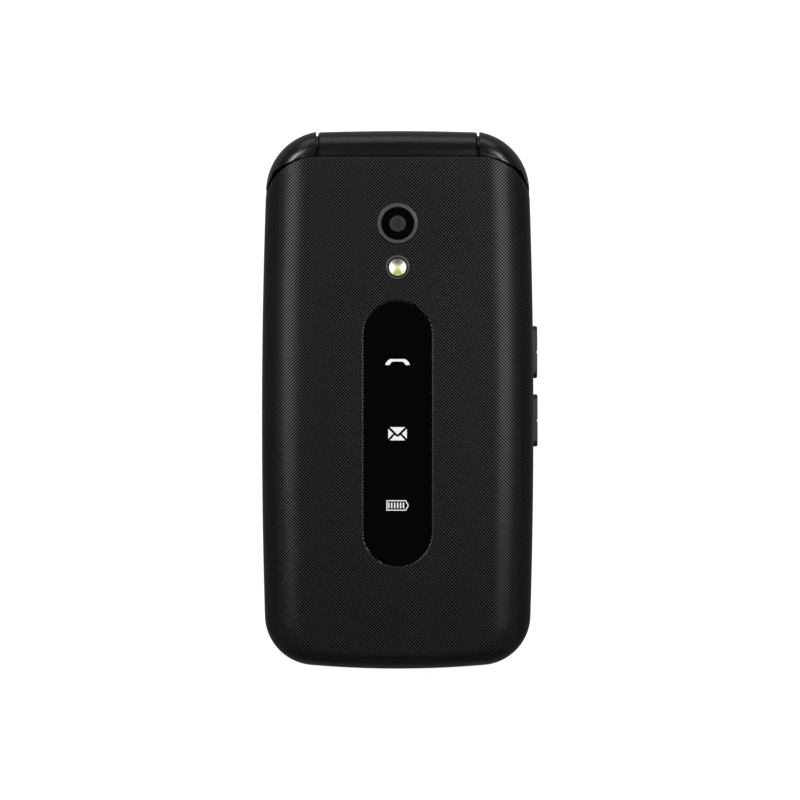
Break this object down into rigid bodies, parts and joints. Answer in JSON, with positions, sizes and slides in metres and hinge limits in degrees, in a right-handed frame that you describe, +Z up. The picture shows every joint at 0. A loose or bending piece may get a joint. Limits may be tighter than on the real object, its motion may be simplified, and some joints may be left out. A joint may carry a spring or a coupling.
{
  "type": "flip phone",
  "caption": "Closed clamshell mobile phone with a hinged lid, outer camera, flash and status window, keypad, side keys, inner display and working hinge.",
  "frame": {"origin": "middle of the flat back that the closed phone rests on", "axes": "+X across the phone, to the side with the two side keys; +Y along it, towards the hinge; +Z up, out of the lid's face"},
  "size_m": [0.0549, 0.1068, 0.0189],
  "materials": {
    "lid_skin": "black soft-feel coating with a fine diagonal weave, smooth along the rim",
    "gloss_black": "polished black",
    "satin_black": "satin black",
    "back_plastic": "fine-grained black",
    "satin_aluminium": "dark anodised, satin",
    "tinted_window": "polished, tinted black",
    "screen_glass": "polished, black border",
    "flash_plastic": "clear, moulded",
    "key_plastic": "semi-gloss black",
    "call_plastic": "semi-gloss black, green print",
    "end_plastic": "semi-gloss black, red print",
    "side_key_plastic": "satin dark grey",
    "rubber": "matt",
    "board": "green solder mask",
    "cell_wrap": "printed film, plain",
    "module_black": "moulded",
    "steel": "plain",
    "acetal": "natural",
    "polyimide": "amber film",
    "panel": "display cell",
    "led": "phosphor"
  },
  "bodies": {
    "base": {"front_housing": "gloss_black", "rear_housing": "back_plastic", "battery_cover": "back_plastic", "battery": "cell_wrap", "main_board": "board", "side_switches": "module_black", "keypad_mat": "rubber", "loudspeaker": "module_black", "vibration_motor": "steel", "sim_holder": "steel", "charging_socket": "steel", "headset_jack": "module_black", "base_screws": "steel", "hinge_shaft": "steel", "hinge_cam": "steel", "hinge_pin": "acetal"},
    "lid": {"lid_cover": "lid_skin", "lid_frame": "satin_black", "camera_ring": "satin_aluminium", "camera_window": "tinted_window", "camera_module": "module_black", "flash_rim": "satin_aluminium", "flash_lens": "flash_plastic", "flash_led": "led", "status_window": "tinted_window", "status_light_guide": "acetal", "display_glass": "screen_glass", "display_module": "panel", "lid_board": "board", "earpiece": "module_black", "earpiece_grille": "steel", "lid_screws": "steel", "screw_plugs": "rubber", "lid_bumpers": "rubber", "hinge_cartridge": "steel", "hinge_follower": "steel", "hinge_spring": "steel", "hinge_flex": "polyimide"},
    "key_1": {"key_1": "key_plastic"},
    "key_2": {"key_2": "key_plastic"},
    "key_3": {"key_3": "key_plastic"},
    "key_4": {"key_4": "key_plastic"},
    "key_5": {"key_5": "key_plastic"},
    "key_6": {"key_6": "key_plastic"},
    "key_7": {"key_7": "key_plastic"},
    "key_8": {"key_8": "key_plastic"},
    "key_9": {"key_9": "key_plastic"},
    "key_star": {"key_star": "key_plastic"},
    "key_0": {"key_0": "key_plastic"},
    "key_hash": {"key_hash": "key_plastic"},
    "nav_up": {"nav_up": "key_plastic"},
    "nav_down": {"nav_down": "key_plastic"},
    "key_ok": {"key_ok": "key_plastic"},
    "soft_left": {"soft_left": "key_plastic"},
    "soft_right": {"soft_right": "key_plastic"},
    "call_key": {"call_key": "call_plastic"},
    "end_key": {"end_key": "end_plastic"},
    "side_key_upper": {"side_key_upper": "side_key_plastic"},
    "side_key_lower": {"side_key_lower": "side_key_plastic"}
  },
  "joints": [
    {"name": "lid_hinge", "type": "hinge", "parent": "base", "child": "lid", "pos_m": [0, 0.04895, 0.0133], "axis": [-1, 0, 0], "range_deg": [0, 160]},
    {"name": "key_1_press", "type": "slide", "parent": "base", "child": "key_1", "axis": [0, 0, -1], "range_m": [0, 0.0004], "stiffness_N_per_m": 1500, "springref_m": -0.0004},
    {"name": "key_2_press", "type": "slide", "parent": "base", "child": "key_2", "axis": [0, 0, -1], "range_m": [0, 0.0004], "stiffness_N_per_m": 1500, "springref_m": -0.0004},
    {"name": "key_3_press", "type": "slide", "parent": "base", "child": "key_3", "axis": [0, 0, -1], "range_m": [0, 0.0004], "stiffness_N_per_m": 1500, "springref_m": -0.0004},
    {"name": "key_4_press", "type": "slide", "parent": "base", "child": "key_4", "axis": [0, 0, -1], "range_m": [0, 0.0004], "stiffness_N_per_m": 1500, "springref_m": -0.0004},
    {"name": "key_5_press", "type": "slide", "parent": "base", "child": "key_5", "axis": [0, 0, -1], "range_m": [0, 0.0004], "stiffness_N_per_m": 1500, "springref_m": -0.0004},
    {"name": "key_6_press", "type": "slide", "parent": "base", "child": "key_6", "axis": [0, 0, -1], "range_m": [0, 0.0004], "stiffness_N_per_m": 1500, "springref_m": -0.0004},
    {"name": "key_7_press", "type": "slide", "parent": "base", "child": "key_7", "axis": [0, 0, -1], "range_m": [0, 0.0004], "stiffness_N_per_m": 1500, "springref_m": -0.0004},
    {"name": "key_8_press", "type": "slide", "parent": "base", "child": "key_8", "axis": [0, 0, -1], "range_m": [0, 0.0004], "stiffness_N_per_m": 1500, "springref_m": -0.0004},
    {"name": "key_9_press", "type": "slide", "parent": "base", "child": "key_9", "axis": [0, 0, -1], "range_m": [0, 0.0004], "stiffness_N_per_m": 1500, "springref_m": -0.0004},
    {"name": "key_star_press", "type": "slide", "parent": "base", "child": "key_star", "axis": [0, 0, -1], "range_m": [0, 0.0004], "stiffness_N_per_m": 1500, "springref_m": -0.0004},
    {"name": "key_0_press", "type": "slide", "parent": "base", "child": "key_0", "axis": [0, 0, -1], "range_m": [0, 0.0004], "stiffness_N_per_m": 1500, "springref_m": -0.0004},
    {"name": "key_hash_press", "type": "slide", "parent": "base", "child": "key_hash", "axis": [0, 0, -1], "range_m": [0, 0.0004], "stiffness_N_per_m": 1500, "springref_m": -0.0004},
    {"name": "nav_up_press", "type": "slide", "parent": "base", "child": "nav_up", "axis": [0, 0, -1], "range_m": [0, 0.0004], "stiffness_N_per_m": 1500, "springref_m": -0.0004},
    {"name": "nav_down_press", "type": "slide", "parent": "base", "child": "nav_down", "axis": [0, 0, -1], "range_m": [0, 0.0004], "stiffness_N_per_m": 1500, "springref_m": -0.0004},
    {"name": "key_ok_press", "type": "slide", "parent": "base", "child": "key_ok", "axis": [0, 0, -1], "range_m": [0, 0.0004], "stiffness_N_per_m": 1500, "springref_m": -0.0004},
    {"name": "soft_left_press", "type": "slide", "parent": "base", "child": "soft_left", "axis": [0, 0, -1], "range_m": [0, 0.0004], "stiffness_N_per_m": 1500, "springref_m": -0.0004},
    {"name": "soft_right_press", "type": "slide", "parent": "base", "child": "soft_right", "axis": [0, 0, -1], "range_m": [0, 0.0004], "stiffness_N_per_m": 1500, "springref_m": -0.0004},
    {"name": "call_key_press", "type": "slide", "parent": "base", "child": "call_key", "axis": [0, 0, -1], "range_m": [0, 0.0004], "stiffness_N_per_m": 1500, "springref_m": -0.0004},
    {"name": "end_key_press", "type": "slide", "parent": "base", "child": "end_key", "axis": [0, 0, -1], "range_m": [0, 0.0004], "stiffness_N_per_m": 1500, "springref_m": -0.0004},
    {"name": "side_key_upper_press", "type": "slide", "parent": "base", "child": "side_key_upper", "axis": [-1, 0, 0], "range_m": [0, 0.0004], "stiffness_N_per_m": 1500, "springref_m": -0.0004},
    {"name": "side_key_lower_press", "type": "slide", "parent": "base", "child": "side_key_lower", "axis": [-1, 0, 0], "range_m": [0, 0.0004], "stiffness_N_per_m": 1500, "springref_m": -0.0004}
  ]
}
